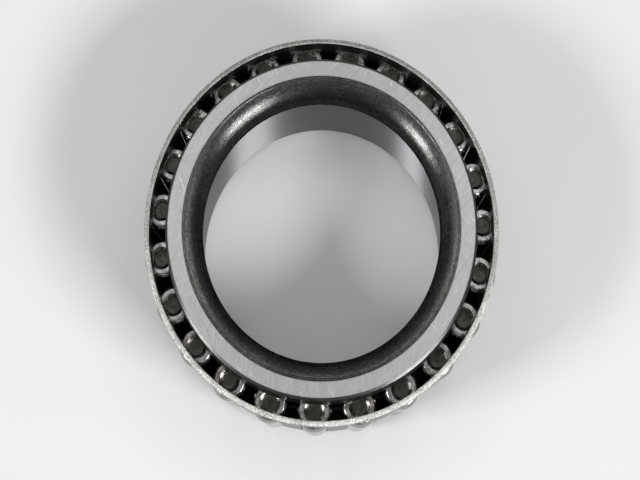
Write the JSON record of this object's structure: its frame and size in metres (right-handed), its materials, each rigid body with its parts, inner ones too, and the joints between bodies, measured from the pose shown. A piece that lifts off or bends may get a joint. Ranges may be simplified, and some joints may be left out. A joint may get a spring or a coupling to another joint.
{
  "type": "tapered roller bearing",
  "caption": "Tapered roller bearing cone assembly: inner ring with conical raceway and ribs, stamped window cage and tapered rollers that roll on it; the cup is a separate part.",
  "frame": {"origin": "on the bearing axis, in the plane of the inner ring's front (small-end) face", "axes": "+Z along the bearing axis, from the front (small-end) face to the back (large-end) face; +X is 1.63 degrees short of roller_01, and the rollers are numbered anticlockwise seen from +Z"},
  "size_m": [0.0677, 0.0676, 0.0198],
  "materials": {
    "ring_steel": "hardened bearing steel: ground back face with fine crossing scratches, turned dark corner radius with concentric tool marks, ground bore, honed raceway",
    "roller_steel": "hardened bearing steel: ground tapered flank, ground ring on the large end around a darker oily recess",
    "cage_steel": "pressed low-carbon sheet steel, dull grey, with bright speckled sheared edges"
  },
  "bodies": {
    "inner_ring": {"inner_ring": "ring_steel"},
    "cage": {"cage": "cage_steel"},
    "roller_01": {"roller_01": "roller_steel"},
    "roller_02": {"roller_02": "roller_steel"},
    "roller_03": {"roller_03": "roller_steel"},
    "roller_04": {"roller_04": "roller_steel"},
    "roller_05": {"roller_05": "roller_steel"},
    "roller_06": {"roller_06": "roller_steel"},
    "roller_07": {"roller_07": "roller_steel"},
    "roller_08": {"roller_08": "roller_steel"},
    "roller_09": {"roller_09": "roller_steel"},
    "roller_10": {"roller_10": "roller_steel"},
    "roller_11": {"roller_11": "roller_steel"},
    "roller_12": {"roller_12": "roller_steel"},
    "roller_13": {"roller_13": "roller_steel"},
    "roller_14": {"roller_14": "roller_steel"},
    "roller_15": {"roller_15": "roller_steel"},
    "roller_16": {"roller_16": "roller_steel"},
    "roller_17": {"roller_17": "roller_steel"},
    "roller_18": {"roller_18": "roller_steel"},
    "roller_19": {"roller_19": "roller_steel"},
    "roller_20": {"roller_20": "roller_steel"},
    "roller_21": {"roller_21": "roller_steel"},
    "roller_22": {"roller_22": "roller_steel"},
    "roller_23": {"roller_23": "roller_steel"}
  },
  "joints": [
    {"name": "cage_spin", "type": "hinge", "parent": "inner_ring", "child": "cage", "pos_m": [0, 0, 0], "axis": [0, 0, 1], "continuous": true},
    {"name": "roller_01_spin", "type": "hinge", "parent": "cage", "child": "roller_01", "pos_m": [0.02943, 0.00084, 0.00942], "axis": [0.1822, 0.0052, 0.9833], "continuous": true},
    {"name": "roller_02_spin", "type": "hinge", "parent": "cage", "child": "roller_02", "pos_m": [0.02811, 0.00875, 0.00942], "axis": [0.174, 0.0541, 0.9833], "continuous": true},
    {"name": "roller_03_spin", "type": "hinge", "parent": "cage", "child": "roller_03", "pos_m": [0.02471, 0.01601, 0.00942], "axis": [0.1529, 0.0991, 0.9833], "continuous": true},
    {"name": "roller_04_spin", "type": "hinge", "parent": "cage", "child": "roller_04", "pos_m": [0.01948, 0.02208, 0.00942], "axis": [0.1205, 0.1367, 0.9833], "continuous": true},
    {"name": "roller_05_spin", "type": "hinge", "parent": "cage", "child": "roller_05", "pos_m": [0.0128, 0.02652, 0.00942], "axis": [0.0792, 0.1641, 0.9833], "continuous": true},
    {"name": "roller_06_spin", "type": "hinge", "parent": "cage", "child": "roller_06", "pos_m": [0.00517, 0.02898, 0.00942], "axis": [0.032, 0.1794, 0.9833], "continuous": true},
    {"name": "roller_07_spin", "type": "hinge", "parent": "cage", "child": "roller_07", "pos_m": [-0.00284, 0.0293, 0.00942], "axis": [-0.0176, 0.1814, 0.9833], "continuous": true},
    {"name": "roller_08_spin", "type": "hinge", "parent": "cage", "child": "roller_08", "pos_m": [-0.01064, 0.02745, 0.00942], "axis": [-0.0659, 0.1699, 0.9833], "continuous": true},
    {"name": "roller_09_spin", "type": "hinge", "parent": "cage", "child": "roller_09", "pos_m": [-0.01766, 0.02356, 0.00942], "axis": [-0.1093, 0.1458, 0.9833], "continuous": true},
    {"name": "roller_10_spin", "type": "hinge", "parent": "cage", "child": "roller_10", "pos_m": [-0.02336, 0.01792, 0.00942], "axis": [-0.1446, 0.1109, 0.9833], "continuous": true},
    {"name": "roller_11_spin", "type": "hinge", "parent": "cage", "child": "roller_11", "pos_m": [-0.02733, 0.01096, 0.00942], "axis": [-0.1691, 0.0678, 0.9833], "continuous": true},
    {"name": "roller_12_spin", "type": "hinge", "parent": "cage", "child": "roller_12", "pos_m": [-0.02927, 0.00318, 0.00942], "axis": [-0.1812, 0.0197, 0.9833], "continuous": true},
    {"name": "roller_13_spin", "type": "hinge", "parent": "cage", "child": "roller_13", "pos_m": [-0.02904, -0.00484, 0.00942], "axis": [-0.1798, -0.0299, 0.9833], "continuous": true},
    {"name": "roller_14_spin", "type": "hinge", "parent": "cage", "child": "roller_14", "pos_m": [-0.02666, -0.01249, 0.00942], "axis": [-0.165, -0.0773, 0.9833], "continuous": true},
    {"name": "roller_15_spin", "type": "hinge", "parent": "cage", "child": "roller_15", "pos_m": [-0.0223, -0.01922, 0.00942], "axis": [-0.138, -0.119, 0.9833], "continuous": true},
    {"name": "roller_16_spin", "type": "hinge", "parent": "cage", "child": "roller_16", "pos_m": [-0.01629, -0.02453, 0.00942], "axis": [-0.1008, -0.1518, 0.9833], "continuous": true},
    {"name": "roller_17_spin", "type": "hinge", "parent": "cage", "child": "roller_17", "pos_m": [-0.00907, -0.02801, 0.00942], "axis": [-0.0561, -0.1734, 0.9833], "continuous": true},
    {"name": "roller_18_spin", "type": "hinge", "parent": "cage", "child": "roller_18", "pos_m": [-0.00117, -0.02942, 0.00942], "axis": [-0.0073, -0.1821, 0.9833], "continuous": true},
    {"name": "roller_19_spin", "type": "hinge", "parent": "cage", "child": "roller_19", "pos_m": [0.00681, -0.02864, 0.00942], "axis": [0.0421, -0.1773, 0.9833], "continuous": true},
    {"name": "roller_20_spin", "type": "hinge", "parent": "cage", "child": "roller_20", "pos_m": [0.01428, -0.02574, 0.00942], "axis": [0.0884, -0.1594, 0.9833], "continuous": true},
    {"name": "roller_21_spin", "type": "hinge", "parent": "cage", "child": "roller_21", "pos_m": [0.0207, -0.02094, 0.00942], "axis": [0.1281, -0.1296, 0.9833], "continuous": true},
    {"name": "roller_22_spin", "type": "hinge", "parent": "cage", "child": "roller_22", "pos_m": [0.02558, -0.01458, 0.00942], "axis": [0.1583, -0.0902, 0.9833], "continuous": true},
    {"name": "roller_23_spin", "type": "hinge", "parent": "cage", "child": "roller_23", "pos_m": [0.02856, -0.00713, 0.00942], "axis": [0.1768, -0.0442, 0.9833], "continuous": true}
  ],
  "couplings": [
    {"joint": "roller_01_spin", "follows": "cage_spin", "ratio": 8.347},
    {"joint": "roller_02_spin", "follows": "cage_spin", "ratio": 8.347},
    {"joint": "roller_03_spin", "follows": "cage_spin", "ratio": 8.347},
    {"joint": "roller_04_spin", "follows": "cage_spin", "ratio": 8.347},
    {"joint": "roller_05_spin", "follows": "cage_spin", "ratio": 8.347},
    {"joint": "roller_06_spin", "follows": "cage_spin", "ratio": 8.347},
    {"joint": "roller_07_spin", "follows": "cage_spin", "ratio": 8.347},
    {"joint": "roller_08_spin", "follows": "cage_spin", "ratio": 8.347},
    {"joint": "roller_09_spin", "follows": "cage_spin", "ratio": 8.347},
    {"joint": "roller_10_spin", "follows": "cage_spin", "ratio": 8.347},
    {"joint": "roller_11_spin", "follows": "cage_spin", "ratio": 8.347},
    {"joint": "roller_12_spin", "follows": "cage_spin", "ratio": 8.347},
    {"joint": "roller_13_spin", "follows": "cage_spin", "ratio": 8.347},
    {"joint": "roller_14_spin", "follows": "cage_spin", "ratio": 8.347},
    {"joint": "roller_15_spin", "follows": "cage_spin", "ratio": 8.347},
    {"joint": "roller_16_spin", "follows": "cage_spin", "ratio": 8.347},
    {"joint": "roller_17_spin", "follows": "cage_spin", "ratio": 8.347},
    {"joint": "roller_18_spin", "follows": "cage_spin", "ratio": 8.347},
    {"joint": "roller_19_spin", "follows": "cage_spin", "ratio": 8.347},
    {"joint": "roller_20_spin", "follows": "cage_spin", "ratio": 8.347},
    {"joint": "roller_21_spin", "follows": "cage_spin", "ratio": 8.347},
    {"joint": "roller_22_spin", "follows": "cage_spin", "ratio": 8.347},
    {"joint": "roller_23_spin", "follows": "cage_spin", "ratio": 8.347}
  ]
}
